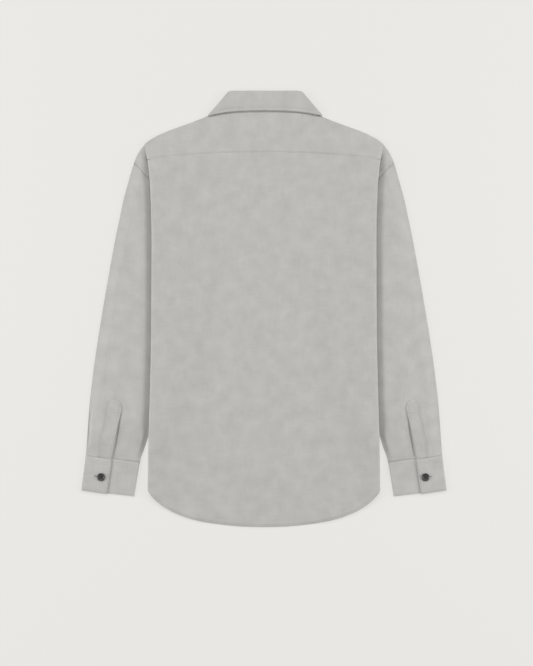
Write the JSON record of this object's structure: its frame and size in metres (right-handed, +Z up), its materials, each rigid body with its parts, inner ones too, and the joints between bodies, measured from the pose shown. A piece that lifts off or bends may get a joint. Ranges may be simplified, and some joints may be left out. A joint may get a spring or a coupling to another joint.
{
  "type": "long-sleeved shirt",
  "caption": "Relaxed long-sleeved shirt with a turned-down collar, back yoke, buttoned cuffs and a shirt-tail hem, laid flat face down.",
  "frame": {"origin": "on the table under the middle of the garment's box", "axes": "+Y from hem to collar, +X across to the wearer's right, +Z up from the table to the back of the shirt"},
  "size_m": [0.6662, 0.7942, 0.0135],
  "materials": {
    "shirting": "fine plain-weave cotton poplin, matt, pressed",
    "button": "dark horn-effect polyester with a soft gloss"
  },
  "bodies": {
    "root": {"back_panel": "shirting", "yoke": "shirting", "left_front": "shirting", "right_front": "shirting", "front_placket": "shirting", "collar_stand": "shirting", "collar_fall": "shirting", "left_sleeve": "shirting", "right_sleeve": "shirting", "left_sleeve_placket": "shirting", "right_sleeve_placket": "shirting", "left_cuff": "shirting", "right_cuff": "shirting", "left_cuff_button": "button", "right_cuff_button": "button", "front_button_1": "button", "front_button_2": "button", "front_button_3": "button", "front_button_4": "button", "front_button_5": "button", "front_button_6": "button", "collar_button": "button"}
  },
  "joints": []
}
